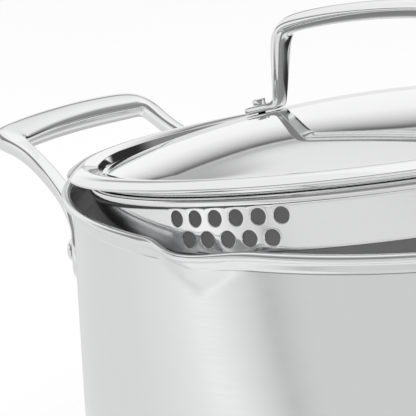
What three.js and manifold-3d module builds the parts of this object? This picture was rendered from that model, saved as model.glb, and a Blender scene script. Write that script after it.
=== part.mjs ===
// A deep two-handled steel cooking pot with pouring spouts and a straining lid left ajar.
// Millimetres, +Z up, origin at the centre of the base's underside. The side handles lie
// along X, and the pouring spouts point nearly along -Y and +Y.

import * as THREE from 'three';
import { mergeVertices } from 'three/addons/utils/BufferGeometryUtils.js';
import Module from 'manifold-3d';

// Gap between pieces that touch
const FIT_GAP = 0.3;

// Pot shell
const POT_HEIGHT = 140;
const WALL_OUTER = 121;
const WALL_THICK = 1;
const CORNER_RADIUS = 14;
const NECK_HEIGHT = 8;
const RIM_FLARE = 2.3;
const BEAD_RADIUS = 1.9;
const POT_SEGMENTS = 92;

// Pouring spouts, pressed outward from the rim
const SPOUT_SKEW = 2.5;
const SPOUT_HALF_ANGLE = 11.8;
const SPOUT_REACH = 9;
const SPOUT_DIP = 1.2;
const SPOUT_DEPTH = 18;

// Encapsulated base
const CAP_THICK = 1;
const CAP_SETBACK = 0.5;
const CAP_EDGE_RADIUS = 2;
const CORE_THICK = 5;

// Side handles
const HANDLE_REACH = 43;
const HANDLE_RISE = 8;
const HANDLE_SAG = 2.4;
const HANDLE_BOW = 5;
const HANDLE_SPAN = 95;
const HANDLE_WIDTH = 15;
const HANDLE_THICK = 9.6;
const ARM_WIDTH = 6;
const ARM_THICK = 7;
const HANDLE_STEPS = 13;
const HANDLE_SIDES = 10;

// Feet of the side handles and their rivets
const FOOT_ANGLE = 28;
const FOOT_THICK = 3.6;
const FOOT_WIDTH = 17;
const FOOT_HEIGHT = 27;
const RIVET_DROP = 31.3;
const RIVET_HEAD = 4.9;
const RIVET_HEAD_HEIGHT = 2.4;
const RIVET_SHANK = 2.4;

// Lid, in its own frame: the flange plane is its XY plane
const LID_OVERHANG = 1.5;
const LID_THICK = 0.9;
const EDGE_RADIUS = 2.2;
const EDGE_RISE = 0.9;
const DOME_HEIGHT = 10.9;
const DOME_SETBACK = 6;
const LID_SEGMENTS = 60;

// Strainer band, welded round the lid's collar
const BAND_CLEARANCE = 2.8;
const BAND_THICK = 0.9;
const BAND_DROP = 6.7;
const BAND_DEPTH = 20.9;
const BAND_BEAD = 3.7;
const BAND_BULGE = 0.7;
const BAND_LAP = 4.4;
const HOLE_RADIUS = 3;
const HOLE_PITCH = 9.16;
const ROW_PITCH = 7.9;
const FINE_RADIUS = 2;
const FINE_PITCH = 6.75;

// Lid handle and its rivets
const LID_HANDLE_RISE = 46;
const LID_BAR_WIDTH = 12.4;
const LID_BAR_THICK = 7.2;
const LID_POST_WIDTH = 5.6;
const LID_POST_THICK = 4.2;
const LID_FOOT_WIDTH = 9;
const LID_FOOT_THICK = 2.4;
const LID_FOOT_TIP = 3.9;
const LID_RIVET_AT = 55.5;
const LID_RIVET_HEAD = 2.7;
const LID_RIVET_HEAD_HEIGHT = 2.3;
const LID_RIVET_SHANK = 1.6;

// How the lid lies ajar: turned a little, tilted up towards the right handle
const LID_TURN = 4.7;
const LID_TILT = 7.7;
const LID_RISE_TOWARDS = -9.5;
const LID_SLIDE = 2.5;
const LID_SIDE_SLIP = 1.7;

// What follows from the sizes above
const WALL_INNER = WALL_OUTER - WALL_THICK;
const CORNER_AT = WALL_OUTER - CORNER_RADIUS;
const SHELL_FLOOR = CAP_THICK + CORE_THICK + 2 * FIT_GAP;
const BEAD_AT = WALL_OUTER + RIM_FLARE;
const CAP_RADIUS = CORNER_AT - CAP_SETBACK;
const FOOT_FACE = WALL_OUTER + FIT_GAP + FOOT_THICK;
const RIVET_HEIGHT = POT_HEIGHT - RIVET_DROP;
const BAND_OUTER = WALL_INNER - BAND_CLEARANCE;
const BAND_INNER = BAND_OUTER - BAND_THICK;
const COLLAR_OUTER = BAND_INNER - FIT_GAP;
const COLLAR_BOTTOM = -BAND_DROP - BAND_LAP;
const LID_RADIUS = BEAD_AT + BEAD_RADIUS + LID_OVERHANG;
const DOME_RADIUS = COLLAR_OUTER - DOME_SETBACK;

const wasm = await Module();
wasm.setup();

const radians = (degrees) => THREE.MathUtils.degToRad(degrees);
const smooth = (value, low, high) => THREE.MathUtils.smoothstep(value, low, high);
const mix = (from, to, share) => THREE.MathUtils.lerp(from, to, share);

const satinSteel = new THREE.MeshStandardMaterial({ color: 0xd6d8da, metalness: 1, roughness: 0.34 });
const brightSteel = new THREE.MeshStandardMaterial({ color: 0xe4e5e6, metalness: 1, roughness: 0.12 });
const aluminium = new THREE.MeshStandardMaterial({ color: 0xbfc2c6, metalness: 1, roughness: 0.5 });

// Closed triangle mesh with shared corners, ready for a join or a cut.
function welded(geometry) {
  const bare = geometry.clone();
  bare.deleteAttribute('normal');
  bare.deleteAttribute('uv');
  return mergeVertices(bare, 1e-4);
}

function solidOf(geometry) {
  const mesh = welded(geometry);
  return new wasm.Manifold(new wasm.Mesh({
    numProp: 3,
    vertProperties: new Float32Array(mesh.attributes.position.array),
    triVerts: new Uint32Array(mesh.index.array),
  }));
}

function geometryOf(solid) {
  const mesh = solid.getMesh();
  const geometry = new THREE.BufferGeometry();
  geometry.setAttribute('position', new THREE.BufferAttribute(new Float32Array(mesh.vertProperties), 3));
  geometry.setIndex(new THREE.BufferAttribute(new Uint32Array(mesh.triVerts), 1));
  return geometry;
}

function subtractAll(geometry, cutters) {
  let solid = solidOf(geometry);
  for (const cutter of cutters) {
    solid = solid.subtract(solidOf(cutter));
  }
  return geometryOf(solid);
}

// Turned body about Z from an outline of [radius, height] pairs, listed anticlockwise.
function turned(outline, segments) {
  const points = outline.map(([radius, height]) => new THREE.Vector2(radius, height));
  const geometry = new THREE.LatheGeometry(points, segments);
  geometry.rotateX(Math.PI / 2);
  return welded(geometry);
}

// Points of an arc in the outline, from one angle to another in degrees.
function arc(radius, height, size, from, to, count) {
  const points = [];
  for (let i = 0; i < count; i += 1) {
    const angle = radians(from + (to - from) * i / (count - 1));
    points.push([radius + size * Math.cos(angle), height + size * Math.sin(angle)]);
  }
  return points;
}

// Round cutter whose axis leaves the Z axis at an angle in degrees.
function radialDrill(radius, angle, height, near, far, sides) {
  const drill = new THREE.CylinderGeometry(radius, radius, far - near, sides);
  drill.rotateZ(-Math.PI / 2);
  drill.translate((near + far) / 2, 0, 0);
  drill.rotateZ(radians(angle));
  drill.translate(0, 0, height);
  return drill;
}

// Closed bar along a curve. sectionAt(t) gives the width, the thickness, how square the
// section is and the direction that the thickness points in.
function sweptBar(curve, steps, sides, sectionAt) {
  const bar = new THREE.CylinderGeometry(1, 1, 1, sides, steps);
  const position = bar.attributes.position;
  const point = new THREE.Vector3();
  for (let i = 0; i < position.count; i += 1) {
    point.fromBufferAttribute(position, i);
    const t = THREE.MathUtils.clamp(point.y + 0.5, 0, 1);
    const section = sectionAt(t);
    const along = curve.getTangentAt(t);
    const normal = section.up.clone().addScaledVector(along, -section.up.dot(along)).normalize();
    const across = new THREE.Vector3().crossVectors(along, normal);
    const power = 2 / section.squareness;
    const wide = Math.sign(point.x) * Math.abs(point.x) ** power * section.width / 2;
    const thick = Math.sign(point.z) * Math.abs(point.z) ** power * section.thick / 2;
    const placed = curve.getPointAt(t).addScaledVector(across, wide).addScaledVector(normal, thick);
    position.setXYZ(i, placed.x, placed.y, placed.z);
  }
  return welded(bar);
}

// Smooth curve through half a bow's points, its middle point and their mirror image.
function bowCurve(half, middle, mirror) {
  const far = half.map((point) => point.clone().multiply(mirror)).reverse();
  const curve = new THREE.CatmullRomCurve3([...half, middle, ...far], false, 'centripetal');
  curve.arcLengthDivisions = 400;
  return curve;
}

// Pot shell: a drawn cup with a flared neck, a rolled rim and two pressed pouring spouts.
function potShell() {
  const top = POT_HEIGHT;
  const cornerHeight = SHELL_FLOOR + CORNER_RADIUS;
  const levels = [-SPOUT_DEPTH - 2, -(SPOUT_DEPTH + NECK_HEIGHT) / 2, -NECK_HEIGHT];
  const outline = [[0, SHELL_FLOOR]];
  outline.push(...arc(CORNER_AT, cornerHeight, CORNER_RADIUS, -90, 0, 4));
  outline.push(...levels.map((level) => [WALL_OUTER, top + level]));
  outline.push([WALL_OUTER + 0.3 * RIM_FLARE, top - 0.61 * NECK_HEIGHT]);
  outline.push(...arc(BEAD_AT, top - BEAD_RADIUS, BEAD_RADIUS, -120, 165, 6));
  outline.push([WALL_INNER + 0.26 * RIM_FLARE, top - 0.65 * NECK_HEIGHT]);
  outline.push(...levels.map((level) => [WALL_INNER, top + level]).reverse());
  outline.push(...arc(CORNER_AT, cornerHeight, CORNER_RADIUS - WALL_THICK, 0, -90, 4));
  outline.push([0, SHELL_FLOOR + WALL_THICK], [0, SHELL_FLOOR]);
  const shell = turned(outline, POT_SEGMENTS);

  // The segments are drawn together at the spouts, and the wall is pushed out there.
  const position = shell.attributes.position;
  for (let i = 0; i < position.count; i += 1) {
    const x = position.getX(i);
    const y = position.getY(i);
    const radius = Math.hypot(x, y);
    const side = y < 0 ? -1 : 1;
    const even = Math.atan2(x, Math.abs(y));
    const angle = even - 0.25 * Math.sin(2 * even);
    const across = Math.abs(THREE.MathUtils.radToDeg(angle) + side * SPOUT_SKEW) / SPOUT_HALF_ANGLE;
    const below = position.getZ(i) - top;
    let push = 0;
    let drop = 0;
    if (across < 1 && radius > CORNER_AT) {
      const bell = Math.cos(across * Math.PI / 2) ** 2;
      const foot = -SPOUT_DEPTH + 0.65 * SPOUT_DEPTH * across;
      const climb = THREE.MathUtils.clamp((below - foot) / -foot, 0, 1);
      push = SPOUT_REACH * bell * climb ** 1.2;
      drop = SPOUT_DIP * bell * climb ** 2;
    }
    position.setX(i, (radius + push) * Math.sin(angle));
    position.setY(i, side * (radius + push) * Math.cos(angle));
    position.setZ(i, top + below - drop);
  }
  const drills = [];
  for (const angle of [FOOT_ANGLE, 180 - FOOT_ANGLE, 180 + FOOT_ANGLE, -FOOT_ANGLE]) {
    drills.push(radialDrill(RIVET_SHANK + FIT_GAP, angle, RIVET_HEIGHT, WALL_INNER - 9, WALL_OUTER + 9, 12));
  }
  return subtractAll(shell, drills);
}

// Base: an aluminium core closed in by a shallow steel cap.
function baseCoreDisc() {
  const radius = CAP_RADIUS - CAP_THICK - FIT_GAP;
  const low = CAP_THICK + FIT_GAP;
  const high = low + CORE_THICK;
  return turned([[0, low], [radius, low], [radius, high], [0, high], [0, low]], 48);
}

function baseCap() {
  const high = SHELL_FLOOR - FIT_GAP;
  const outline = [[0, 0]];
  outline.push(...arc(CAP_RADIUS - CAP_EDGE_RADIUS, CAP_EDGE_RADIUS, CAP_EDGE_RADIUS, -90, 0, 3));
  outline.push([CAP_RADIUS, high], [CAP_RADIUS - CAP_THICK, high]);
  outline.push([CAP_RADIUS - CAP_THICK, CAP_THICK], [0, CAP_THICK], [0, 0]);
  return turned(outline, 48);
}

// Side handle on the -X side: a cast bar on two slim arms that run down to riveted feet.
// Each arm goes from its root to the bar's end by shares of the way out, in and up.
function sideHandle() {
  const barAt = -WALL_OUTER - HANDLE_REACH;
  const level = POT_HEIGHT + HANDLE_RISE;
  const barEnd = new THREE.Vector3(barAt + HANDLE_BOW, -HANDLE_SPAN / 2, level - HANDLE_SAG);
  const barMiddle = new THREE.Vector3(barAt, 0, level);
  const barCurve = bowCurve([barEnd], barMiddle, new THREE.Vector3(1, -1, 1));
  const barUp = new THREE.Vector3(0.18, 0, 0.98);
  const bar = sweptBar(barCurve, HANDLE_STEPS + 3, HANDLE_SIDES, (t) => {
    const end = THREE.MathUtils.clamp((Math.abs(2 * t - 1) - 0.88) / 0.12, 0, 1);
    const rounding = Math.sqrt(1 - 0.8 * end ** 2);
    return {
      up: barUp,
      width: HANDLE_WIDTH * rounding,
      thick: HANDLE_THICK * (0.4 + 0.6 * rounding),
      squareness: 3.2,
    };
  });
  let handle = solidOf(bar);

  const rootRadius = WALL_OUTER + FIT_GAP + FOOT_THICK / 2;
  const armShares = [
    [0, 0, 0], [0.02, 0.04, 0.12], [0.11, 0.32, 0.25], [0.34, 0.8, 0.45],
    [0.61, 1.12, 0.69], [0.83, 1.14, 0.92], [1, 1, 1],
  ];
  const buried = WALL_OUTER - 6;
  for (const side of [-1, 1]) {
    const angle = 180 - side * FOOT_ANGLE;
    const root = new THREE.Vector3(rootRadius, 0, RIVET_HEIGHT + RIVET_HEAD + 2.5);
    root.applyAxisAngle(new THREE.Vector3(0, 0, 1), radians(angle));
    const armSide = side * (HANDLE_SPAN - ARM_WIDTH) / 2;
    const corner = new THREE.Vector3(barAt + HANDLE_BOW, armSide, level - HANDLE_SAG);
    const path = armShares.map(([out, along, up]) => new THREE.Vector3(
      mix(root.x, corner.x, out), mix(root.y, corner.y, along), mix(root.z, corner.z, up)));
    const armCurve = new THREE.CatmullRomCurve3(path, false, 'centripetal');
    const outward = new THREE.Vector3(Math.cos(radians(angle)), Math.sin(radians(angle)), 0.1);
    const arm = sweptBar(armCurve, HANDLE_STEPS, HANDLE_SIDES, (t) => {
      const foot = 1 - smooth(t, 0.08, 0.5);
      return {
        up: new THREE.Vector3(0, 0, 1).lerp(outward, 1 - smooth(t, 0.1, 0.45)),
        width: mix(ARM_WIDTH, 0.72 * FOOT_WIDTH, foot),
        thick: mix(ARM_THICK, FOOT_THICK, foot),
        squareness: 3.2,
      };
    });
    handle = handle.add(solidOf(arm));
    const plate = new THREE.Shape();
    plate.absellipse(0, 0, FOOT_WIDTH / 2, FOOT_HEIGHT / 2, 0, 2 * Math.PI, false, 0);
    const padOptions = { depth: FOOT_FACE - buried, bevelEnabled: false, curveSegments: 8 };
    const pad = new THREE.ExtrudeGeometry(plate, padOptions);
    pad.rotateX(Math.PI / 2);
    pad.rotateZ(Math.PI / 2);
    pad.translate(buried, 0, RIVET_HEIGHT + 2);
    pad.rotateZ(radians(angle));
    handle = handle.add(solidOf(pad));
  }
  const clear = WALL_OUTER + FIT_GAP;
  const wallCutter = new THREE.CylinderGeometry(clear, clear, 2 * POT_HEIGHT, 200);
  wallCutter.rotateX(Math.PI / 2);
  handle = handle.subtract(solidOf(wallCutter));
  for (const angle of [180 - FOOT_ANGLE, 180 + FOOT_ANGLE]) {
    const drill = radialDrill(RIVET_SHANK + FIT_GAP, angle, RIVET_HEIGHT, buried, FOOT_FACE + 9, 12);
    handle = handle.subtract(solidOf(drill));
  }
  return geometryOf(handle);
}

// Rivet along +X: a domed head outside the foot and a flat head inside the wall.
function sideRivet() {
  const under = FOOT_FACE + FIT_GAP;
  const inside = WALL_INNER - FIT_GAP - 0.1;
  const outline = [[0, inside - 1.5], [RIVET_HEAD - 0.8, inside - 1.5]];
  outline.push([RIVET_HEAD, inside], [RIVET_SHANK, inside], [RIVET_SHANK, under], [RIVET_HEAD, under]);
  outline.push([RIVET_HEAD, under + 0.2 * RIVET_HEAD_HEIGHT]);
  outline.push([0.7 * RIVET_HEAD, under + 0.8 * RIVET_HEAD_HEIGHT]);
  outline.push([0, under + RIVET_HEAD_HEIGHT], [0, inside - 1.5]);
  const rivet = turned(outline, 12);
  rivet.rotateY(Math.PI / 2);
  return rivet;
}

const domeTop = (radius) => DOME_HEIGHT * (1 - (radius / DOME_RADIUS) ** 2);

// Moves a shape from the origin to a rivet's place on the dome, square to the surface.
function onDome(geometry, side) {
  const slope = Math.atan(2 * DOME_HEIGHT * LID_RIVET_AT / DOME_RADIUS ** 2);
  geometry.rotateY(side * slope);
  geometry.translate(side * LID_RIVET_AT, 0, domeTop(LID_RIVET_AT));
  return geometry;
}

function domeDrills() {
  return [-1, 1].map((side) => {
    const radius = LID_RIVET_SHANK + FIT_GAP;
    const drill = new THREE.CylinderGeometry(radius, radius, 4 * LID_FOOT_THICK, 10);
    drill.rotateX(Math.PI / 2);
    return onDome(drill, side);
  });
}

// Lid: a pressed dome, a flange with a rolled edge and a short collar below.
function lidDome() {
  const edgeAt = LID_RADIUS - EDGE_RADIUS;
  const rings = [0.55 * LID_RIVET_AT, LID_RIVET_AT, 0.74 * DOME_RADIUS, 0.92 * DOME_RADIUS];
  const collarInner = COLLAR_OUTER - LID_THICK;
  const under = -LID_THICK - 0.6;
  const outline = [[0, DOME_HEIGHT - LID_THICK]];
  outline.push(...rings.map((radius) => [radius, domeTop(radius) - LID_THICK]));
  outline.push([DOME_RADIUS, -LID_THICK - 0.1], [collarInner, under]);
  outline.push([collarInner, COLLAR_BOTTOM], [COLLAR_OUTER, COLLAR_BOTTOM], [COLLAR_OUTER, under]);
  outline.push(...arc(edgeAt, EDGE_RISE - EDGE_RADIUS, EDGE_RADIUS, -160, 125, 6));
  outline.push([COLLAR_OUTER + 2, -0.3], [DOME_RADIUS + 3, -0.4]);
  outline.push(...rings.map((radius) => [radius, domeTop(radius)]).reverse());
  outline.push([0, DOME_HEIGHT], [0, DOME_HEIGHT - LID_THICK]);
  return subtractAll(turned(outline, LID_SEGMENTS), domeDrills());
}

// Strainer band: a hoop with a beaded top edge and, at each spout, two staggered rows of
// holes, coarse and fine.
function strainerBand() {
  const top = -BAND_DROP;
  const bottom = top - BAND_DEPTH;
  const hoop = turned([
    [BAND_INNER, bottom], [BAND_OUTER, bottom], [BAND_OUTER, top - BAND_BEAD],
    [BAND_OUTER + BAND_BULGE, top - 0.7 * BAND_BEAD], [BAND_OUTER + BAND_BULGE, top - 0.3 * BAND_BEAD],
    [BAND_OUTER, top], [BAND_INNER, top], [BAND_INNER, bottom],
  ], 72);
  const middle = (top + bottom) / 2 - 1;
  const upper = middle + ROW_PITCH / 2;
  const lower = middle - ROW_PITCH / 2;
  const rows = [
    [-90, HOLE_RADIUS, HOLE_PITCH, 6, upper], [-90, HOLE_RADIUS, HOLE_PITCH, 5, lower],
    [90, FINE_RADIUS, FINE_PITCH, 8, upper], [90, FINE_RADIUS, FINE_PITCH, 7, lower],
  ];
  const drills = [];
  for (const [centre, radius, pitch, count, height] of rows) {
    const step = THREE.MathUtils.radToDeg(pitch / BAND_OUTER);
    for (let i = 0; i < count; i += 1) {
      const angle = centre + step * (i - (count - 1) / 2);
      drills.push(radialDrill(radius, angle, height, BAND_INNER - 5, BAND_OUTER + 5, 10));
    }
  }
  return subtractAll(hoop, drills);
}

// Lid handle: a cast bow whose posts taper to two feet that lie on the dome.
function lidHandle() {
  const lift = FIT_GAP + 0.05 + LID_FOOT_THICK / 2;
  const sole = [LID_FOOT_TIP, 0, -5.5].map((out, i) => [LID_RIVET_AT + out, 0.08 * i]);
  const half = sole.map(([x, ease]) => new THREE.Vector3(-x, 0, domeTop(x) + lift + ease));
  const base = half[2].z;
  const postShares = [[8.9, 0.07], [9.7, 0.2], [10.8, 0.5], [12.6, 0.76], [15.8, 0.9], [27, 0.965]];
  half.push(...postShares.map(([inward, up]) => new THREE.Vector3(
    inward - LID_RIVET_AT, 0, mix(base, LID_HANDLE_RISE, up))));
  const middle = new THREE.Vector3(0, 0, LID_HANDLE_RISE);
  const curve = bowCurve(half, middle, new THREE.Vector3(-1, 1, 1));
  const bow = sweptBar(curve, 40, HANDLE_SIDES, (t) => {
    const out = Math.abs(2 * t - 1);
    const along = curve.getTangentAt(t);
    const post = 0.6 * smooth(out, 0.42, 0.56) + 0.4 * smooth(out, 0.6, 0.82);
    const foot = smooth(out, 0.87, 0.93);
    return {
      up: new THREE.Vector3(-along.z, 0, along.x),
      width: mix(mix(LID_BAR_WIDTH, LID_POST_WIDTH, post), LID_FOOT_WIDTH, foot),
      thick: mix(mix(LID_BAR_THICK, LID_POST_THICK, post), LID_FOOT_THICK, foot),
      squareness: 3,
    };
  });
  return subtractAll(bow, domeDrills());
}

function lidRivet(side) {
  const under = 2 * FIT_GAP + 0.1 + LID_FOOT_THICK;
  const below = -LID_THICK - FIT_GAP;
  const outline = [[0, below - 1.2], [LID_RIVET_HEAD - 0.4, below - 1.2]];
  outline.push([LID_RIVET_HEAD, below], [LID_RIVET_SHANK, below], [LID_RIVET_SHANK, under]);
  outline.push([LID_RIVET_HEAD, under], [LID_RIVET_HEAD, under + 0.3 * LID_RIVET_HEAD_HEIGHT]);
  outline.push([0.75 * LID_RIVET_HEAD, under + 0.77 * LID_RIVET_HEAD_HEIGHT]);
  outline.push([0, under + LID_RIVET_HEAD_HEIGHT], [0, below - 1.2]);
  return onDome(turned(outline, 12), side);
}

function piece(name, geometry, material, parent) {
  const mesh = new THREE.Mesh(geometry, material);
  mesh.name = name;
  parent.add(mesh);
  return mesh;
}

const pot = new THREE.Group();
piece('pot_shell', potShell(), satinSteel, pot);
piece('base_core_disc', baseCoreDisc(), aluminium, pot);
piece('base_cap', baseCap(), satinSteel, pot);

const handleShape = sideHandle();
for (const [name, turn] of [['left', 0], ['right', Math.PI]]) {
  piece(`side_handle_${name}`, handleShape, brightSteel, pot).rotation.z = turn;
}
const rivetShape = sideRivet();
const rivetPlaces = [
  ['left_front', 180 + FOOT_ANGLE], ['left_back', 180 - FOOT_ANGLE],
  ['right_front', -FOOT_ANGLE], ['right_back', FOOT_ANGLE],
];
for (const [name, angle] of rivetPlaces) {
  const rivet = piece(`side_rivet_${name}`, rivetShape, brightSteel, pot);
  rivet.rotation.z = radians(angle);
  rivet.position.z = RIVET_HEIGHT;
}

// The lid lies ajar: its rolled edge rests on the rim's bead opposite the raised side.
function lidPlace() {
  const tilt = radians(LID_TILT);
  const edgeOut = LID_RADIUS - EDGE_RADIUS;
  const edgeUp = EDGE_RISE - EDGE_RADIUS;
  const edgeAcross = LID_SLIDE - edgeOut * Math.cos(tilt) - edgeUp * Math.sin(tilt);
  const edgeLow = -edgeOut * Math.sin(tilt) + edgeUp * Math.cos(tilt);
  const reach = BEAD_RADIUS + EDGE_RADIUS + FIT_GAP;
  const inward = edgeAcross + BEAD_AT;
  const seat = Math.sqrt(reach ** 2 - inward ** 2);
  const towards = radians(LID_RISE_TOWARDS);
  return new THREE.Vector3(
    LID_SLIDE * Math.cos(towards) - LID_SIDE_SLIP * Math.sin(towards),
    LID_SLIDE * Math.sin(towards) + LID_SIDE_SLIP * Math.cos(towards),
    POT_HEIGHT - BEAD_RADIUS + seat - edgeLow,
  );
}

const lid = new THREE.Group();
const towards = radians(LID_RISE_TOWARDS);
const tiltAxis = new THREE.Vector3(Math.sin(towards), -Math.cos(towards), 0);
lid.quaternion.setFromAxisAngle(tiltAxis, radians(LID_TILT));
lid.position.copy(lidPlace());
pot.add(lid);
const lidPieces = new THREE.Group();
lidPieces.rotation.z = radians(LID_TURN);
lid.add(lidPieces);
piece('lid_dome', lidDome(), brightSteel, lidPieces);
piece('strainer_band', strainerBand(), satinSteel, lidPieces);
piece('lid_handle', lidHandle(), brightSteel, lidPieces);
piece('lid_rivet_left', lidRivet(-1), brightSteel, lidPieces);
piece('lid_rivet_right', lidRivet(1), brightSteel, lidPieces);

export default pot;
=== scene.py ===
# %% [markdown]
# # A deep steel cooking pot with a straining lid
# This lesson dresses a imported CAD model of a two-handled pot. The CAD solids are a fixed
# frame: nothing in it moves or changes size. Each visible piece is built again with finer
# curves, takes the place of its solid, and rides on the body that carries it.

import math

import bmesh
import bpy
from mathutils import Matrix, Vector


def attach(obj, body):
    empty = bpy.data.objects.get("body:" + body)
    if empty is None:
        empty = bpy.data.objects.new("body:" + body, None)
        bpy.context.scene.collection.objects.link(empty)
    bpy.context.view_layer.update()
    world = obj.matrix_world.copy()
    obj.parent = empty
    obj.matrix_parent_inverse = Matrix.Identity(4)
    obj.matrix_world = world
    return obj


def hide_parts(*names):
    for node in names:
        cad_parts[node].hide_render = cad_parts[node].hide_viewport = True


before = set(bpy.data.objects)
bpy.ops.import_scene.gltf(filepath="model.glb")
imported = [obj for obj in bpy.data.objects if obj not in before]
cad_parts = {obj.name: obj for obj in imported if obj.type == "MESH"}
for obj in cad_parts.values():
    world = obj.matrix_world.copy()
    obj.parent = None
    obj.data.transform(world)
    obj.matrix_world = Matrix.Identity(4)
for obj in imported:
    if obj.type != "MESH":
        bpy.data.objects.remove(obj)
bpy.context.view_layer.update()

# %% [markdown]
# The camera stands in front and to the right, a little above the lid's handle, with a long
# lens that crops the pot closely. A camera could be turned with a constraint, but a matrix
# from a view direction and an up direction is exact and easy to read.

# %% Camera
MM = 0.001
CAMERA_AT = (562.08, -809.94, 370.74)
VIEW_DIRECTION, VIEW_UP = (-0.6069, 0.7582, -0.2386), (-0.1112, 0.2162, 0.97)
FOCAL_LENGTH, SENSOR_WIDTH = 219.87, 36


def aim(forward, up):
    back = -Vector(forward).normalized()
    right = Vector(up).cross(back).normalized()
    return Matrix((right, back.cross(right), back)).transposed().to_4x4()


lens = bpy.data.cameras.new("camera")
lens.lens = FOCAL_LENGTH
lens.sensor_width = SENSOR_WIDTH
camera = bpy.data.objects.new("camera", lens)
camera.matrix_world = aim(VIEW_DIRECTION, VIEW_UP)
camera.location = Vector(CAMERA_AT) * MM
bpy.context.scene.collection.objects.link(camera)
bpy.context.scene.camera = camera
print("camera at", [round(v, 3) for v in camera.location])

# %% [markdown]
# Node trees get long when each socket is wired by hand. One small helper adds a node, sets
# its options and plugs in its inputs. A few more, built on it, mix two greys, fade one value
# into another and look up a grey on a ramp, so that a finish reads like a recipe.


# %% Helpers for node trees
def add_node(tree, kind, inputs=None, **options):
    node = tree.nodes.new(kind)
    for key, value in options.items():
        setattr(node, key, value)
    for key, value in (inputs or {}).items():
        if isinstance(value, bpy.types.NodeSocket):
            tree.links.new(value, node.inputs[key])
        else:
            node.inputs[key].default_value = value
    return node


def math_node(tree, operation, *values):
    return add_node(tree, "ShaderNodeMath", dict(enumerate(values)), operation=operation).outputs[0]


def grey(light):
    return (light, light, light, 1)


def mix_node(tree, share, first, second):
    return add_node(tree, "ShaderNodeMixRGB", {0: share, 1: first, 2: second}).outputs[0]


def fade_node(tree, value, start, end, low=0.0, high=1.0):
    """Runs smoothly from low to high while the value goes from start to end."""
    inputs = {"Value": value, 1: start, 2: end, 3: low, 4: high}
    return add_node(tree, "ShaderNodeMapRange", inputs, interpolation_type="SMOOTHSTEP").outputs[0]


def ramp_node(tree, factor, stops):
    node = add_node(tree, "ShaderNodeValToRGB", {"Fac": factor})
    elements = node.color_ramp.elements
    while len(elements) < len(stops):
        elements.new(0.5)
    for element, (place, light) in zip(elements, stops):
        element.position = place
        element.color = grey(light)
    return node.outputs[0]


print("node helpers ready")

# %% [markdown]
# Bare steel has almost no colour of its own: it shows the room. Lamps and cards could stand
# round the pot, but a world shader can paint a whole room by compass angle and height, so each
# edge falls exactly where the steel shows it. These helpers find a direction in that room.

# %% Directions in the room
world = bpy.data.worlds.new("studio")
bpy.context.scene.world = world
world.use_nodes = True
world.cycles.sampling_method = "NONE"
room = world.node_tree
room.nodes.clear()
direction = add_node(room, "ShaderNodeTexCoord").outputs["Generated"]
axes = add_node(room, "ShaderNodeSeparateXYZ", {0: direction}).outputs
height = math_node(room, "ARCSINE", axes[2])
level = math_node(room, "COSINE", height)


def toward(compass, up=0.0):
    """A unit vector: compass is counted from the front (-Y) towards the right, in degrees."""
    compass, up = math.radians(compass), math.radians(up)
    return Vector((math.sin(compass) * math.cos(up), -math.cos(compass) * math.cos(up), math.sin(up)))


def facing(axis):
    inputs = {0: direction, 1: axis}
    return add_node(room, "ShaderNodeVectorMath", inputs, operation="DOT_PRODUCT").outputs["Value"]


def near_compass(compass, outer, inner, low=0.0, high=1.0):
    """High within the inner angle of a compass direction, low beyond the outer angle, in degrees."""
    share = math_node(room, "DIVIDE", facing(toward(compass)), level)
    return fade_node(room, share, math.cos(math.radians(outer)), math.cos(math.radians(inner)), low, high)


def rising(angle, start, end):
    return fade_node(room, angle, math.radians(start), math.radians(end))


def falling(angle, start, end):
    return fade_node(room, angle, math.radians(start), math.radians(end), 1.0, 0.0)


def bands(angle, stops):
    share = math_node(room, "MULTIPLY_ADD", angle, 1 / math.pi, 0.5)
    return ramp_node(room, share, [((degrees + 90) / 180, light) for degrees, light in stops])


print("room directions ready")

# %% [markdown]
# The back of the room is white, with a thin dark shelf along it that the dome mirrors as a
# dark line. The shelf hangs lower towards the left, a grey screen stands there, and beyond the
# screen the wall is plain. Below the horizon the walls are soft panels, lightest at the back.

# %% Walls and back of the room
WALLS = [
    (-180, 0.97), (-130, 0.97), (-118, 0.78), (-60, 0.80), (-40, 0.97), (-10, 0.70), (60, 0.66),
    (110, 0.60), (150, 0.90), (180, 0.97),
]
BACK = [
    (0, 0.97), (8, 0.97), (11.5, 0.95), (14, 0.84), (16.2, 0.70), (17.8, 0.54), (19.0, 0.36),
    (19.9, 0.18), (20.4, 0.10), (20.7, 0.10), (21.1, 0.66), (21.8, 0.48), (22.6, 0.55),
    (23.4, 0.72), (25.5, 0.83), (31, 0.85), (40, 0.93), (50, 1.0), (90, 1.0),
]
SHELF_DROP = math.radians(4.7)
SCREEN_LIGHT, PLAIN_LIGHT = 0.46, 0.92
toward_front = math_node(room, "MULTIPLY", axes[1], -1.0)
turn = math_node(room, "ARCTAN2", axes[0], toward_front)
turn = math_node(room, "MULTIPLY_ADD", turn, 1 / math.tau, 0.5)
wall_light = ramp_node(room, turn, [((degrees + 180) / 360, light) for degrees, light in WALLS])
back_height = math_node(room, "ADD", height, near_compass(-100, 44.03, 35.51, 0.0, SHELF_DROP))
screen = math_node(room, "MULTIPLY", near_compass(-122, 14.07, 9.6), rising(back_height, 20.7, 21.7))
screen = math_node(room, "MULTIPLY", screen, falling(height, 22, 26))
back_light = mix_node(room, screen, bands(back_height, BACK), grey(SCREEN_LIGHT))
back_light = mix_node(room, near_compass(-150, 29.54, 21.57), grey(PLAIN_LIGHT), back_light)
print("back wall bands:", len(BACK))

# %% [markdown]
# The front, where the camera stands, is dark below a lit ceiling, with a low bright panel at
# the left. A dark doorway straight behind makes the lid's gutter dark. Only reflections see
# this room. The camera sees plain white, and the light on the object stays even.

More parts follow.
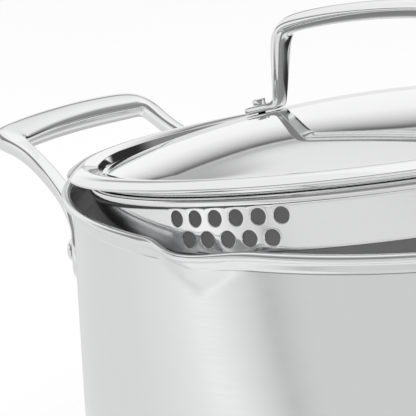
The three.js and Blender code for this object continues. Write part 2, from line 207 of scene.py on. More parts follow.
# %% Front, doorway and ceiling
FRONT = [(0, 0.5), (4, 0.3), (8, 0.24), (30, 0.28), (46, 0.36), (52, 0.6), (58, 1.0), (90, 1.0)]
PANEL_LIGHT, DOORWAY_LIGHT, EVEN_LIGHT = 0.9, 0.03, 0.8
front_light = bands(math_node(room, "ARCSINE", facing(toward(-70, 84))), FRONT)
low_panel = math_node(room, "MULTIPLY", near_compass(-100, 49.46, 31.79), falling(height, 9, 14))
front_light = mix_node(room, low_panel, front_light, grey(PANEL_LIGHT))
upper = mix_node(room, near_compass(40, 143.13, 120), back_light, front_light)
doorway = math_node(room, "MULTIPLY", near_compass(176, 27.75, 12.84), falling(height, 17, 22))
upper = mix_node(room, doorway, upper, grey(DOORWAY_LIGHT))
mirrored_room = mix_node(room, rising(height, -1, 2), wall_light, upper)
path = add_node(room, "ShaderNodeLightPath").outputs
seen = math_node(room, "MAXIMUM", path["Is Camera Ray"], path["Is Transmission Ray"])
lit = mix_node(room, path["Is Glossy Ray"], grey(EVEN_LIGHT), mirrored_room)
lit = mix_node(room, seen, lit, grey(1))
sky = add_node(room, "ShaderNodeBackground", {"Color": lit, "Strength": 1.0})
room.links.new(sky.outputs[0], add_node(room, "ShaderNodeOutputWorld").inputs[0])
print("room nodes:", len(room.nodes))

# %% [markdown]
# The floor is a wide pale sheet that fades into the white room. It could be one square, but a
# disc with a few rings has no corner to show. The upright wall mirrors the floor, so soft
# light panels fan out over it for reflections only: they make the wall's upright streaks. For
# reflections the floor is painted light: lighter near the pot, an even grey far off, and a
# painted shadow behind the pot. The camera still sees the pale sheet with its shadow.

# %% Floor
FLOOR_RADIUS, FLOOR_LEVEL_M = 6, -0.0004
FAN_CENTRE = (0.117, -0.153, 0)
FAN = [
    (-180, 0.95), (-141, 0.97), (-137, 0.52), (-128, 0.55), (-120, 0.76), (-90, 0.75), (-75, 0.78),
    (-62, 0.84), (-54, 0.88), (-52, 0.99), (-43, 0.97), (-36, 0.84), (-28, 0.74), (-21.5, 0.67),
    (-18.5, 0.25), (-16, 0.60), (-4, 0.69), (60, 0.68), (120, 0.70), (160, 0.9), (180, 0.95),
]
NEAR_LIGHT, FAR_LIGHT, SHADE_LIGHT = 0.92, 0.80, 0.25
SHADE_AT = (0.02, 0.27, 0)
CAMERA_WHITE = 0.72
sheet = bpy.data.meshes.new("floor")
disc = bmesh.new()
bmesh.ops.create_circle(disc, cap_ends=True, segments=96, radius=FLOOR_RADIUS)
bmesh.ops.inset_region(disc, faces=disc.faces[:], thickness=FLOOR_RADIUS / 2)
disc.to_mesh(sheet)
disc.free()
floor = bpy.data.objects.new("floor", sheet)
bpy.context.scene.collection.objects.link(floor)
floor.location.z = FLOOR_LEVEL_M
paper = bpy.data.materials.new("paper_floor")
paper.use_nodes = True
tree = paper.node_tree
tree.nodes.clear()
fibre = add_node(tree, "ShaderNodeTexNoise", {"Scale": 60.0, "Detail": 3.0}).outputs[0]
tone = ramp_node(tree, fibre, [(0.3, 0.93), (0.7, 0.96)])
matte = add_node(tree, "ShaderNodeBsdfDiffuse", {"Color": tone})
spot = add_node(tree, "ShaderNodeTexCoord").outputs["Object"]
arm = add_node(tree, "ShaderNodeVectorMath", {0: spot, 1: FAN_CENTRE}, operation="SUBTRACT").outputs[0]
arm = add_node(tree, "ShaderNodeSeparateXYZ", {0: arm}).outputs
sweep = math_node(tree, "ARCTAN2", arm[0], math_node(tree, "MULTIPLY", arm[1], -1.0))
sweep = math_node(tree, "MULTIPLY_ADD", sweep, 1 / math.tau, 0.5)
glow = ramp_node(tree, sweep, [((degrees + 180) / 360, light) for degrees, light in FAN])
reach = add_node(tree, "ShaderNodeVectorMath", {0: spot}, operation="LENGTH").outputs["Value"]
glow = mix_node(tree, fade_node(tree, reach, 0.15, 0.24, 1.0, 0.0), glow, grey(NEAR_LIGHT))
glow = mix_node(tree, fade_node(tree, reach, 0.7, 1.3, 0.0, 0.8), glow, grey(FAR_LIGHT))
# Painted shadow: the floor's glow is darkened behind the pot, and only reflections see it.
painted_shadow_distance = add_node(tree, "ShaderNodeVectorMath", {0: spot, 1: SHADE_AT}, operation="DISTANCE")
painted_shadow_distance = painted_shadow_distance.outputs["Value"]
glow = mix_node(tree, fade_node(tree, painted_shadow_distance, 0.06, 0.24, 0.75, 0.0), glow, grey(SHADE_LIGHT))
mirrored_floor = add_node(tree, "ShaderNodeEmission", {"Color": glow})
white = add_node(tree, "ShaderNodeEmission")
path = add_node(tree, "ShaderNodeLightPath").outputs
kept_white = math_node(tree, "MULTIPLY", path["Is Camera Ray"], CAMERA_WHITE)
shown = add_node(tree, "ShaderNodeMixShader", {0: kept_white, 1: matte.outputs[0], 2: white.outputs[0]})
sides = {0: path["Is Glossy Ray"], 1: shown.outputs[0], 2: mirrored_floor.outputs[0]}
surface = add_node(tree, "ShaderNodeMixShader", sides)
tree.links.new(surface.outputs[0], add_node(tree, "ShaderNodeOutputMaterial").inputs[0])
sheet.materials.append(paper)
print("floor panels:", len(FAN))

# %% [markdown]
# Two broad lamps light the floor and the dull inside. They are hidden from reflections, which
# would show them as hard discs. A small lamp in the pot stands for the light that bounces
# about inside bright steel, which would need very many bounces to follow.

# %% Lamps
LAMPS = [
    ("inside_glow", "POINT", (-0.028, 0.036, 0.062), 0.05, 0.08),
    ("ceiling_lamp", "AREA", (-0.35, -0.25, 1.7), 1.6, 9.0),
    ("side_lamp", "AREA", (-1.6, -0.9, 0.9), 1.0, 3.0),
]
for name, kind, place, size, power in LAMPS:
    light = bpy.data.lights.new(name, kind)
    light.energy = power
    lamp = bpy.data.objects.new(name, light)
    if kind == "AREA":
        light.shape = "DISK"
        light.size = size
        lamp.matrix_world = aim(-Vector(place), (0, 1, 0.01))
    else:
        light.shadow_soft_size = size
    lamp.location = place
    lamp.visible_glossy = False
    bpy.context.scene.collection.objects.link(lamp)
    print(name, power, "W")

# %% [markdown]
# The pot wall is satin: it is brushed round and round with a fine belt. The scratches run
# along the wall, so light spreads up and down and streaks stay upright. A noise squeezed in
# height makes the scratches, and the shader's own anisotropy spreads the light.

# %% Satin steel
BRUSHED, EVEN = (0.02, 0.02, 1.0), (1.0, 1.0, 1.0)


def steel(name, colour, roughness, spread, squeeze, bump_strength, streak_scale):
    material = bpy.data.materials.new(name)
    material.use_nodes = True
    tree = material.node_tree
    tree.nodes.clear()
    place = add_node(tree, "ShaderNodeTexCoord").outputs["Object"]
    streak_place = add_node(tree, "ShaderNodeMapping", {"Vector": place, "Scale": squeeze}).outputs[0]
    streak_inputs = {"Vector": streak_place, "Scale": streak_scale, "Detail": 4.0, "Roughness": 0.65}
    streaks = add_node(tree, "ShaderNodeTexNoise", streak_inputs).outputs[0]
    clouds = add_node(tree, "ShaderNodeTexNoise", {"Vector": place, "Scale": 26.0, "Detail": 2.0}).outputs[0]
    low, high = roughness
    blend = math_node(tree, "MULTIPLY_ADD", clouds, 0.5, math_node(tree, "MULTIPLY", streaks, 0.5))
    rough_inputs = {"Value": blend, 1: 0.35, 2: 0.65, 3: low, 4: high}
    rough = add_node(tree, "ShaderNodeMapRange", rough_inputs).outputs[0]
    tint = mix_node(tree, clouds, (*[c * 0.97 for c in colour], 1), (*colour, 1))
    bump_inputs = {"Height": streaks, "Strength": bump_strength, "Distance": 0.0001}
    bump = add_node(tree, "ShaderNodeBump", bump_inputs).outputs[0]
    shader = add_node(
        tree, "ShaderNodeBsdfPrincipled",
        {"Base Color": tint, "Roughness": rough, "Normal": bump, "Metallic": 1.0, "Anisotropic": spread},
    )
    if spread:
        grain = add_node(tree, "ShaderNodeTangent", direction_type="RADIAL", axis="Z").outputs[0]
        tree.links.new(grain, shader.inputs["Tangent"])
        shader.inputs["Anisotropic Rotation"].default_value = 0.25
    tree.links.new(shader.outputs[0], add_node(tree, "ShaderNodeOutputMaterial").inputs[0])
    print("finish:", name)
    return material


satin_steel = steel("satin_steel", (0.89, 0.895, 0.90), (0.15, 0.23), 0.6, BRUSHED, 0.05, 900.0)

# %% [markdown]
# The lid, the handles and the rivets are polished almost to a mirror. A perfect mirror looks
# false: pressed sheet keeps a faint haze and slow waves. The same recipe with low roughness
# and broad, weak noise gives both. The strainer is belted finer than the wall, and the inside
# is dull and scatters some light. The core of the base is plain cast aluminium.

# %% Polished steel, strainer, inside and aluminium
INSIDE_METALLIC = 0.7
polished_steel = steel("polished_steel", (0.91, 0.912, 0.915), (0.022, 0.05), 0.0, EVEN, 0.012, 90.0)
hoop_steel = steel("hoop_steel", (0.91, 0.912, 0.915), (0.06, 0.11), 0.0, BRUSHED, 0.02, 900.0)
inside_steel = steel("inside_steel", (0.80, 0.80, 0.80), (0.30, 0.40), 0.0, BRUSHED, 0.08, 900.0)
inside_steel.node_tree.nodes["Principled BSDF"].inputs["Metallic"].default_value = INSIDE_METALLIC
aluminium = steel("core_aluminium", (0.74, 0.75, 0.77), (0.42, 0.55), 0.0, EVEN, 0.2, 700.0)

# %% [markdown]
# Pot, base and lid are turned or spun sheet metal, so each is an outline swept round an axis.
# An outline of a few corners is short to write, but real sheet has a radius at each bend. The
# helper rounds the corners first, then Blender's spin operator turns the outline.


# %% Turning an outline
def rounded(corners, steps=6):
    """Outline of (radius, height, bend radius) corners with each bend drawn as an arc."""
    points = [Vector(corner[:2]) for corner in corners]
    outline = []
    for i, point in enumerate(points):
        bend = corners[i][2] if len(corners[i]) > 2 else 0
        if bend == 0 or i in (0, len(points) - 1):
            outline.append(point)
            continue
        before = (points[i - 1] - point).normalized()
        after = (points[i + 1] - point).normalized()
        half = before.angle(after) / 2
        centre = point + (before + after).normalized() * bend / math.sin(half)
        start = point + before * bend / math.tan(half) - centre
        end = point + after * bend / math.tan(half) - centre
        sweep = start.angle_signed(end)
        for k in range(steps + 1):
            outline.append(centre + Matrix.Rotation(-sweep * k / steps, 2) @ start)
    return outline


def turned(outline, segments):
    """Bmesh of the outline spun once about Z, in millimetres."""
    body = bmesh.new()
    ring = [body.verts.new((point[0], 0, point[1])) for point in outline]
    edges = [body.edges.new(pair) for pair in zip(ring, ring[1:])]
    bmesh.ops.spin(
        body, geom=ring + edges, axis=(0, 0, 1), cent=(0, 0, 0), steps=segments, angle=math.tau,
        use_merge=True,
    )
    bmesh.ops.remove_doubles(body, verts=body.verts, dist=1e-4)
    bmesh.ops.recalc_face_normals(body, faces=body.faces)
    return body


def piece(name, body, material, carrier, node, place=None):
    """Turns a bmesh in millimetres into an object that stands for a CAD node."""
    bmesh.ops.scale(body, vec=(MM, MM, MM), verts=body.verts)
    if place is not None:
        bmesh.ops.transform(body, matrix=place, verts=body.verts)
    mesh = bpy.data.meshes.new(name)
    body.to_mesh(mesh)
    body.free()
    mesh.shade_smooth()
    mesh.materials.append(material)
    made = bpy.data.objects.new(name, mesh)
    bpy.context.scene.collection.objects.link(made)
    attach(made, carrier)
    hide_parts(node)
    print(name, "faces:", len(mesh.polygons))
    return made


print("turning helpers ready")

# %% [markdown]
# The pot is one drawn cup: a flat floor, a rounded corner, a straight wall, a crease, a flared
# neck and a rolled rim. Its two pouring spouts are pressed outward from the rim. They could be
# sculpted, but pushing the turned wall with a smooth bell keeps the rim's roll whole. The
# inside is dull up to a bright band below the rim.

# %% Pot body
POT_HEIGHT, WALL_OUTER, WALL_INNER, FLOOR_LEVEL = 140.0, 121.0, 120.0, 6.6
RIM_CENTRE, RIM_RADIUS = (123.3, 138.1), 1.9
CORNER_RADIUS, BRIGHT_BAND_FROM, FLOOR_FACES_BELOW = 14.0, 124.0, 30.0
NECK = 132.0


def arc(centre, radius, start, end, steps):
    angles = [math.radians(start + (end - start) * k / steps) for k in range(steps + 1)]
    return [(centre[0] + radius * math.cos(a), centre[1] + radius * math.sin(a)) for a in angles]


levels = [60, 100, 112, 116, 119, 122, 124.5, 126.5, 128.5, 130]
outside = [(0, FLOOR_LEVEL), (60, FLOOR_LEVEL), (WALL_OUTER, FLOOR_LEVEL, CORNER_RADIUS)]
outside += [(WALL_OUTER, level) for level in levels]
outside += [(WALL_OUTER, NECK - 0.4, 0.5), (WALL_OUTER - 0.12, NECK, 0.25)]
outside += [(WALL_OUTER + 0.25, NECK + 1, 1.5), (WALL_OUTER + 0.6, NECK + 3.2, 3.0)]
outside += [(RIM_CENTRE[0] - 0.95, NECK + 4.45)]
inside = [(WALL_INNER + 0.6, NECK + 2.8, 3.0), (WALL_INNER, NECK, 3.0)]
inside += [(WALL_INNER, level) for level in reversed(levels)]
inside += [(WALL_INNER, FLOOR_LEVEL + 1, CORNER_RADIUS - 1), (60, FLOOR_LEVEL + 1), (0, FLOOR_LEVEL + 1)]
rim = arc(RIM_CENTRE, RIM_RADIUS, -120, 165, 22)
pot = turned(rounded(outside) + rim[1:] + rounded([rim[-1], *inside])[1:], 384)

SPOUT_SKEW, SPOUT_HALF_ANGLE, SPOUT_REACH, SPOUT_DIP, SPOUT_DEPTH = 2.5, 11.8, 9.0, 1.2, 18.0
SPOUT_CHIN, SPOUT_CURVE, SEGMENT_DRAW = 0.65, 1.08, 0.25


def press_spout(point):
    """Draws the segments together at the spouts and pushes the wall out there."""
    radius = math.hypot(point.x, point.y)
    side = -1 if point.y < 0 else 1
    even = math.atan2(point.x, abs(point.y))
    angle = even - SEGMENT_DRAW * math.sin(2 * even)
    across = abs(math.degrees(angle) + side * SPOUT_SKEW) / SPOUT_HALF_ANGLE
    below = point.z - POT_HEIGHT
    push = drop = 0.0
    if across < 1 and radius > WALL_OUTER - CORNER_RADIUS:
        bell = math.cos(across * math.pi / 2) ** 2
        foot = -SPOUT_DEPTH + SPOUT_CHIN * SPOUT_DEPTH * across
        climb = min(max((below - foot) / -foot, 0), 1)
        push = SPOUT_REACH * bell * climb**SPOUT_CURVE
        drop = SPOUT_DIP * bell * climb**2
    reach = radius + push
    return Vector((reach * math.sin(angle), side * reach * math.cos(angle), point.z - drop))


for vert in pot.verts:
    vert.co = press_spout(vert.co)
for face in pot.faces:
    middle = face.calc_center_median()
    inward = -face.normal.dot(Vector((middle.x, middle.y, 0)).normalized())
    faces_inward = inward > 0.2
    is_floor = face.normal.z > 0.3 and middle.z < FLOOR_FACES_BELOW
    if middle.z < BRIGHT_BAND_FROM and (faces_inward or is_floor):
        face.material_index = 1
pot_body = piece("pot_body", pot, satin_steel, "pot", "pot_shell")
pot_body.data.materials.append(inside_steel)

# %% [markdown]
# Under the pot a shallow steel cap closes in a thick aluminium disc, which spreads the heat.
# The cap is turned like the pot. The disc stays the CAD solid, because it is a plain disc that
# the cap hides, and it only takes a better finish.

# %% Base
CAP_RADIUS, CAP_TOP, CAP_SHEET, CAP_RING = 106.5, 6.3, 1, 93
cap_outline = [(0, 0), (40, 0), (CAP_RING - 1, 0), (CAP_RING, 0.15, 0.3), (CAP_RING + 1, 0)]
cap_outline += [(CAP_RADIUS, 0, 2.0), (CAP_RADIUS, CAP_TOP), (CAP_RADIUS - CAP_SHEET, CAP_TOP)]
cap_outline += [(CAP_RADIUS - CAP_SHEET, CAP_SHEET, 1.0), (0, CAP_SHEET)]
piece("base_pan", turned(rounded(cap_outline), 256), satin_steel, "pot", "base_cap")
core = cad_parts["base_core_disc"]
core.data.materials.clear()
core.data.materials.append(aluminium)
print("core disc finish:", core.data.materials[0].name)

# %% [markdown]
# Handles are cast bars whose section changes on the way: a flat foot on the wall, a slim arm
# and a broad grip. A bevelled curve has one section only. A loft of cross-sections can change
# at each station, and subdivision then rounds it the way polishing rounds a casting.


# %% Lofting a cast bar
def lofted(stations):
    """Bmesh cage through (centre, across, width, thick, section) stations, in millimetres."""
    cage = bmesh.new()
    loops = []
    for i, (centre, across, width, thick, section) in enumerate(stations):
        before = stations[max(i - 1, 0)][0]
        after = stations[min(i + 1, len(stations) - 1)][0]
        normal = across.cross(after - before).normalized()
        loops.append([
            cage.verts.new(centre + across * (a * width / 2) + normal * (v * thick / 2)) for a, v in section
        ])
    count = len(loops[0])
    for near, far in zip(loops, loops[1:]):
        for k in range(count):
            cage.faces.new((near[k], near[(k + 1) % count], far[(k + 1) % count], far[k]))
    cage.faces.new(loops[0])
    cage.faces.new(loops[-1])
    bmesh.ops.recalc_face_normals(cage, faces=cage.faces)
    return cage


def mixed_section(first, second, share):
    return [(a + (c - a) * share, b + (d - b) * share) for (a, b), (c, d) in zip(first, second)]


def subdivided(made, levels):
    rounder = made.modifiers.new("rounding", "SUBSURF")
    rounder.levels = rounder.render_levels = levels
    return made


print("loft helpers ready")

# %% [markdown]
# Each side handle is one casting. From the foot it climbs the wall, swings out as a slim arm,
# turns a tight corner and becomes a broad, flat-topped grip. Two rails, an inner and an outer
# one, guide the sections round the corner. The far half is the mirror image of the near half.

# %% Side handles
GRIP = [
    (-0.66, -0.98), (0, -1.02), (0.62, -0.92), (0.95, -0.4), (1.04, 0.15), (0.9, 0.72),
    (0.45, 1.0), (-0.25, 1.0), (-0.8, 0.74), (-1.03, 0.44), (-1.04, 0.1), (-1.0, -0.3),
]
ARM = [
    (-0.5, -1.03), (0, -1.05), (0.55, -1.0), (0.95, -0.6), (1.06, -0.1), (1.03, 0.72),
    (0.8, 1.03), (-0.5, 1.05), (-0.9, 0.95), (-1.06, 0.6), (-1.06, 0), (-0.95, -0.6),
]
FOOT = [
    (-0.6, -1.02), (0, -1.05), (0.6, -1.02), (0.95, -0.65), (1.04, 0), (1.04, 0.62),
    (0.98, 1.0), (-0.4, 1.0), (-0.98, 1.0), (-1.04, 0.62), (-1.04, 0), (-0.95, -0.65),
]
FOOT_ANGLE, FOOT_SEAT, FOOT_TOP = math.radians(28.0), 121.3, 119
outward = Vector((-math.cos(FOOT_ANGLE), math.sin(FOOT_ANGLE), 0))
along_wall = Vector((math.sin(FOOT_ANGLE), math.cos(FOOT_ANGLE), 0))
half_handle = []
for tall, width, thick in [
    (97.2, 5, 1.8), (97.9, 9.5, 3.0), (100, 13.6, 3.6), (104, 16.4, 3.6), (110, 17.0, 3.6),
    (114.5, 15.6, 3.6), (118, 12.8, 3.8),
]:
    centre = outward * (FOOT_SEAT + thick / 2) + Vector((0, 0, tall))
    half_handle.append((centre, along_wall, width, thick, FOOT))
for centre, across, width, thick, share in [
    ((-110.6, 56.4, 120.8), (0.3, 0.95, 0.1), 10.6, 4.4, 0.3),
    ((-114.8, 53.2, 123.9), (0.0, 0.97, 0.2), 9.0, 5.4, 0.6),
    ((-120.3, 49.9, 126.8), (-0.3, 0.95, 0.05), 7.4, 6.4, 0.9),
]:
    section = mixed_section(FOOT, ARM, share)
    half_handle.append((Vector(centre), Vector(across).normalized(), width, thick, section))
rails = [
    ((-127.1, 50.2), (-124.5, 44.2), 129.4, 0, 6.8, 0),
    ((-139.9, 45.8), (-138.9, 39.9), 136.5, 0, 7, 0),
    ((-147.6, 45.7), (-146.8, 39.6), 141.4, 0, 7.2, 0),
    ((-154.5, 47.1), (-150.2, 39.4), 144.4, 0.2, 8, 0.2),
    ((-162.2, 46.6), (-151.7, 38.8), 145.6, 0.7, 9.0, 0.5),
    ((-167.0, 42.6), (-152.3, 37.2), 146.0, 1.1, 9.8, 0.8),
    ((-168.6, 36), (-152.8, 34.5), 146.2, 1.3, 10.4, 1),
    ((-170.2, 24), (-154.7, 24), 146.4, 1.35, 10.8, 1),
    ((-171.2, 12), (-156.1, 12), 146.5, 1.35, 11.0, 1),
]
for outer, inner, tall, lean, thick, share in rails:
    outer = Vector((*outer, tall + lean))
    inner = Vector((*inner, tall - lean))
    across = outer - inner
    section = mixed_section(ARM, GRIP, share)
    half_handle.append(((outer + inner) / 2, across.normalized(), across.length, thick, section))
flip = Matrix.Diagonal((1, -1, 1))
middle = (Vector((-164, 0, 146.5)), Vector((-15, 0, 2.7)).normalized(), 15.2, 11.0, GRIP)
mirrored = [(flip @ centre, flip @ across, *sizes) for centre, across, *sizes in half_handle]
stations = half_handle + [middle] + mirrored[::-1]
for side, turn_angle in [("left", 0), ("right", math.pi)]:
    cage = lofted(stations)
    for vert in cage.verts:
        reach = math.hypot(vert.co.x, vert.co.y)
        if vert.co.z < FOOT_TOP and reach < FOOT_SEAT:
            vert.co.xy *= FOOT_SEAT / reach
    half_turn = Matrix.Rotation(turn_angle, 3, "Z")
    bmesh.ops.rotate(cage, cent=(0, 0, 0), matrix=half_turn, verts=cage.verts)
    node = f"side_handle_{side}"
    subdivided(piece(f"loop_handle_{side}", cage, polished_steel, "pot", node), 3)

# %% [markdown]
# Two rivets hold each handle. A rivet is a shank with a domed head outside and a flat head
# inside the wall. It is turned upright like the pot, laid on its side, and moved to its foot.

# %% Wall rivets
SHANK, HEAD, RIVET_LEVEL = 2.4, 4.9, 108.7
rivet_outline = [(0, 118.1), (4.1, 118.1, 0.4), (HEAD, 119.6), (SHANK, 119.6), (SHANK, 125.2)]
rivet_outline += [(HEAD, 125.2, 0.1), (HEAD, 125.7, 0.4), (3.9, 126.8, 1.2), (2.4, 127.4, 2.0), (0, 127.6)]
for name, angle in [("left_front", 208), ("left_back", 152), ("right_front", -28), ("right_back", 28)]:
    rivet = turned(rounded(rivet_outline), 48)
    lay = Matrix.Rotation(math.radians(angle), 3, "Z") @ Matrix.Rotation(math.radians(90), 3, "Y")
    bmesh.ops.rotate(rivet, cent=(0, 0, 0), matrix=lay, verts=rivet.verts)
    bmesh.ops.translate(rivet, vec=(0, 0, RIVET_LEVEL), verts=rivet.verts)
    piece(f"wall_rivet_{name}", rivet, polished_steel, "pot", f"side_rivet_{name}")

# %% [markdown]
# The lid lies ajar: turned a little, tilted up towards the right handle, with its rolled edge
# resting on the rim at the left. Its pieces are built level, round their own axis, and one
# matrix puts them all in place, so that their finish also follows the lid's own axis.

# %% How the lid lies
LID_TURN, LID_TILT, LID_RISE_TOWARDS = (math.radians(v) for v in (4.7, 7.7, -9.5))
LID_SLIDE, LID_SIDE_SLIP = 2.5, 1.7
EDGE_AT, EDGE_LEVEL, EDGE_RADIUS, EDGE_GAP = 124.5, -1.3, 2.2, 0.3
edge_across = LID_SLIDE - EDGE_AT * math.cos(LID_TILT) - EDGE_LEVEL * math.sin(LID_TILT)
edge_low = -EDGE_AT * math.sin(LID_TILT) + EDGE_LEVEL * math.cos(LID_TILT)
seat = math.sqrt((RIM_RADIUS + EDGE_RADIUS + EDGE_GAP) ** 2 - (edge_across + RIM_CENTRE[0]) ** 2)
rise_x, rise_y = math.cos(LID_RISE_TOWARDS), math.sin(LID_RISE_TOWARDS)
lid_at = Vector((
    LID_SLIDE * rise_x - LID_SIDE_SLIP * rise_y,
    LID_SLIDE * rise_y + LID_SIDE_SLIP * rise_x,
    RIM_CENTRE[1] + seat - edge_low,
))
tilted = Matrix.Rotation(LID_TILT, 4, Vector((rise_y, -rise_x, 0)))
lid_place = Matrix.Translation(lid_at * MM) @ tilted @ Matrix.Rotation(LID_TURN, 4, "Z")
print("lid centre", [round(v, 2) for v in lid_at])

# %% [markdown]
# The lid cover is spun from one sheet: a low dome, a narrow gutter round it, a flange that
# rises to a soft ridge, a sloping edge turned under, and a short collar that the strainer is
# welded to. A scaled sphere would lose all of that, so the outline is turned about the axis.
# The bright and dark lines along the edge come from its small bends, so each has a radius.

# %% Lid cover
DOME_HEIGHT, DOME_DROP, DOME_RADIUS, DOME_FOOT = 11.9, 14.8, 110.0, 106
COLLAR, COLLAR_BOTTOM, LID_SHEET = 116.0, -11.1, 0.9


def dome(radius):
    return DOME_HEIGHT - DOME_DROP * (radius / DOME_RADIUS) ** 2


rings = [6 * k for k in range(18)]
top_side = [(r, dome(r)) for r in rings] + [(DOME_FOOT, dome(DOME_FOOT)), (110.2, -3.2, 0.7)]
top_side += [(110.8, -4.2, 0.4), (112.6, -4.2, 0.7), (113.4, -0.5, 0.4), (117, 0.22), (121.3, 1.0, 7.5)]
edge = [(126.35, -2.2, 0.5), (125.7, -3.1, 0.4), (124.8, -3.4, 0.4), (124.2, -2.7, 0.4)]
under_side = [(120.9, -0.1, 1.2), (117.6, -0.9), (COLLAR, -1.3, 0.5), (COLLAR, COLLAR_BOTTOM)]
under_side += [(COLLAR - LID_SHEET, COLLAR_BOTTOM), (COLLAR - LID_SHEET, -1.5, 0.5), (114.4, -1.6, 0.4)]
under_side += [(113.6, -5.1, 1.3), (109.9, -5.1, 0.8), (109.3, -3.9, 0.6)]
under_side += [(DOME_FOOT - 0.3, dome(DOME_FOOT) - LID_SHEET)]
under_side += [(r, dome(r) - LID_SHEET) for r in reversed(rings)]
cover = turned(rounded(top_side + edge + under_side), 320)
piece("lid_cover", cover, polished_steel, "lid", "lid_dome", lid_place)

# %% [markdown]
# The strainer is a steel hoop with a beaded top edge. Holes are punched at each spout: large
# ones at the front, small ones at the back. Boolean cuts would leave ragged shading, so each
# hole gets a square cell of its own: a ring of faces that runs from the cell's border into a
# rounded lip and through the sheet.

# %% Strainer hoop
HOOP_OUTER, HOOP_INNER, HOOP_TOP, HOOP_BOTTOM = 117.2, 116.3, -6.7, -27.6
ROW_PITCH, UPPER_ROW = 7.9, -14.2
HOLE_ZONES = [(-90, 3.0, 9.16, 6), (90, 2.0, 6.75, 8)]
CELL_STEPS, PLAIN_STEPS, HOLE_LIP, FIRST_CORNER = 8, 72, 0.42, 225
hoop = bmesh.new()
known = {}


def hoop_vert(u, z, depth):
    angle = u / HOOP_OUTER
    spot = Vector(((HOOP_OUTER - depth) * math.cos(angle), (HOOP_OUTER - depth) * math.sin(angle), z))
    key = tuple(round(v, 3) for v in spot)
    if key not in known:
        known[key] = hoop.verts.new(spot)
    return known[key]


def hoop_face(corners):
    verts = [hoop_vert(*corner) for corner in corners]
    if len(set(verts)) == 4:
        hoop.faces.new(verts)


def bridge(first, second):
    for k in range(len(first)):
        after = (k + 1) % len(first)
        hoop_face((first[k], first[after], second[after], second[k]))


def hole_cell(u, z, pitch, radius):
    """A square cell with a round hole, from the outer face through to the inner face."""
    border, circle = [], []
    for k in range(4 * CELL_STEPS):
        side, step = divmod(k, CELL_STEPS)
        s = 2 * step / CELL_STEPS - 1
        border.append([(s, -1), (1, s), (-s, 1), (-1, -s)][side])
        angle = math.radians(FIRST_CORNER + 90 * k / CELL_STEPS)
        circle.append((math.cos(angle), math.sin(angle)))
    border = [(a * pitch / 2, b * ROW_PITCH / 2) for a, b in border]
    thick = HOOP_OUTER - HOOP_INNER
    lip = radius + HOLE_LIP
    rings = [(0, 0), (0.55, 0), (lip, 0), (radius + 0.2, 0.03), (radius + 0.05, 0.12), (radius, 0.26)]
    rings += [(size, thick - depth) for size, depth in reversed(rings)]
    loops = []
    for size, depth in rings:
        ring = [(a * size, b * size) for a, b in circle]
        if size < 1:
            ring = mixed_section(border, [(a * lip, b * lip) for a, b in circle], size)
        loops.append([(u + a, z + b, depth) for a, b in ring])
    for near, far in zip(loops, loops[1:]):
        bridge(near, far)


columns = []
for degrees, radius, pitch, count in HOLE_ZONES:
    centre = math.radians(degrees) * HOOP_OUTER
    columns += [centre + pitch * (k / CELL_STEPS - count / 2) for k in range(count * CELL_STEPS + 1)]
    other = HOLE_ZONES[1] if degrees < 0 else HOLE_ZONES[0]
    gap_end = math.radians(degrees + 180) * HOOP_OUTER - other[2] * other[3] / 2
    start = columns[-1]
    columns += [start + (gap_end - start) * k / PLAIN_STEPS for k in range(1, PLAIN_STEPS)]
columns.append(columns[0] + math.tau * HOOP_OUTER)
row_levels = [UPPER_ROW + ROW_PITCH / 2 - ROW_PITCH * k / CELL_STEPS for k in range(2 * CELL_STEPS + 1)]
outer_side = [(-HOOP_BOTTOM, 0.3), (27.45, 0.06), (27.2, 0)] + [(-z, 0) for z in reversed(row_levels)]
outer_side += [(10.12, -0.3), (9.7, -0.62), (9.0, -0.7), (8.2, -0.7), (7.4, -0.52), (6.85, -0.1)]
inner_side = [(-HOOP_TOP, 0.5), (6.85, 0.9)] + [(-z, 0.9) for z in row_levels] + [(27.3, 0.9), (27.55, 0.7)]
outline = [(-drop, depth) for drop, depth in outer_side + inner_side]


def punched(u, z):
    for degrees, radius, pitch, count in HOLE_ZONES:
        away = abs(u - math.radians(degrees) * HOOP_OUTER)
        row = (UPPER_ROW + ROW_PITCH / 2 - z) / ROW_PITCH
        if 0 < row < 2 and away < pitch * (count - int(row)) / 2:
            return True
    return False


for u, v in zip(columns, columns[1:]):
    for (z0, d0), (z1, d1) in zip(outline, outline[1:] + outline[:1]):
        if d0 == d1 and d0 in (0, 0.9) and punched((u + v) / 2, (z0 + z1) / 2):
            continue
        hoop_face(((u, z0, d0), (v, z0, d0), (v, z1, d1), (u, z1, d1)))
holes = 0
for degrees, radius, pitch, count in HOLE_ZONES:
    for row in (0, 1):
        for k in range(count - row):
            u = math.radians(degrees) * HOOP_OUTER + pitch * (k - (count - row - 1) / 2)
            hole_cell(u, UPPER_ROW - ROW_PITCH * row, pitch, radius)
            holes += 1
bmesh.ops.recalc_face_normals(hoop, faces=hoop.faces)
print("holes:", holes, "open edges:", sum(1 for e in hoop.edges if not e.is_manifold))
piece("strainer_hoop", hoop, hoop_steel, "lid", "strainer_band", lid_place)

# %% [markdown]
# The lid's handle is a cast bow: flat feet on the dome, slim posts that widen upward, a tight
# corner, and a grip that is crowned on top and cut away below. It is lofted like the side
# handles, but it lies in one plane, so a station needs only its place and its two sizes.


# %% Lid handle
def symmetric(half):
    return half + [(-a, v) for a, v in reversed(half[1:])]


LID_GRIP = symmetric([
    (0, 1.1), (0.5, 0.84), (0.95, 0.36), (1.02, 0.22), (1.01, 0.08), (0.94, -0.4), (0.84, -0.88),
    (0.45, -1.04),
])
LID_POST = symmetric([
    (0, 1.06), (0.5, 1.0), (0.88, 0.8), (1.04, 0.5), (1.02, 0.1), (0.94, -0.3), (0.96, -0.86),
    (0.6, -1.06),
])
LID_FOOT = symmetric([
    (0, 1.02), (0.6, 1.02), (0.96, 1.0), (1.02, 0.8), (1.02, 0.1), (1.02, -0.7), (0.97, -1.0),
    (0.6, -1.02),
])
FOOT_LIFT, FOOT_SLOPE, FOOT_END = 1.8, 0.15, 61


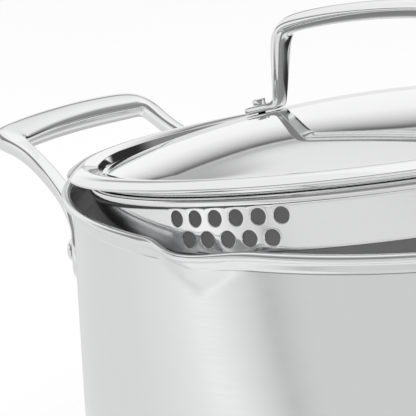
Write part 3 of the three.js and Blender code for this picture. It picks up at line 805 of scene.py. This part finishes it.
def foot_level(x):
    return dome(FOOT_END) + FOOT_SLOPE * (FOOT_END - x)


strap = [(61.4, 6.4, 2.2), (60.9, 8.6, 2.8), (59.2, 9.2, 3.0)]
strap += [(53.5, 9.2, 3.0), (50.6, 9.0, 3.0), (49.3, 8.2, 3.1)]
bow_half = [(x, foot_level(x) + FOOT_LIFT, width, thick, LID_FOOT) for x, width, thick in strap]
bow_half += [
    (47.0, 11.2, 7.4, 4.6, mixed_section(LID_FOOT, LID_POST, 0.5)),
    (46.2, 13.4, 7.0, 4.2, LID_POST),
    (45.6, 16.0, 7.2, 4.3, LID_POST),
    (44.5, 22.0, 8.0, 4.8, LID_POST),
    (43.2, 30.0, 9.0, 5.4, LID_POST),
    (41.9, 36.6, 10.0, 6.0, LID_POST),
    (40.2, 40.8, 10.4, 6.8, mixed_section(LID_POST, LID_GRIP, 0.4)),
    (36.8, 43.0, 10.6, 7.3, mixed_section(LID_POST, LID_GRIP, 0.8)),
    (30, 44.2, 11.2, 7.4, LID_GRIP),
    (16, 45.5, 12.0, 7.4, LID_GRIP),
]
across_bow = Vector((0, -1, 0))
bow = [(Vector((-x, 0, z)), across_bow, *sizes) for x, z, *sizes in bow_half]
bow.append((Vector((0, 0, 45.9)), across_bow, 12.4, 7.3, LID_GRIP))
bow += [(Vector((x, 0, z)), across_bow, *sizes) for x, z, *sizes in reversed(bow_half)]
lid_bow = piece("lid_bow", lofted(bow), polished_steel, "lid", "lid_handle", lid_place)
subdivided(lid_bow, 3)

# %% [markdown]
# One small rivet goes through each foot of the lid's handle. Its head is a short button with
# a slightly domed top, square to the foot below it.

# %% Lid rivets
RIVET_AT = 55.5
button = [(0, -2.4), (2.3, -2.4, 0.2), (2.7, -1.2), (1.6, -1.2), (1.6, 3.1)]
button += [(2.7, 3.1, 0.1), (2.75, 5.5, 0.3), (2.0, 5.8, 0.6), (0, 5.9)]
slope = math.atan(FOOT_SLOPE)
for name, side in [("left", -1), ("right", 1)]:
    rivet = turned(rounded(button), 40)
    lean = Matrix.Rotation(side * slope, 3, "Y")
    bmesh.ops.rotate(rivet, cent=(0, 0, 0), matrix=lean, verts=rivet.verts)
    bmesh.ops.translate(rivet, vec=(side * RIVET_AT, 0, foot_level(RIVET_AT)), verts=rivet.verts)
    node = f"lid_rivet_{name}"
    piece(f"lid_button_{name}", rivet, polished_steel, "lid", node, lid_place)

# %% [markdown]
# The picture is shown without a film look, so that a colour renders as it is written.

# %% Film look
bpy.context.scene.view_settings.view_transform = "Standard"
bpy.context.view_layer.update()
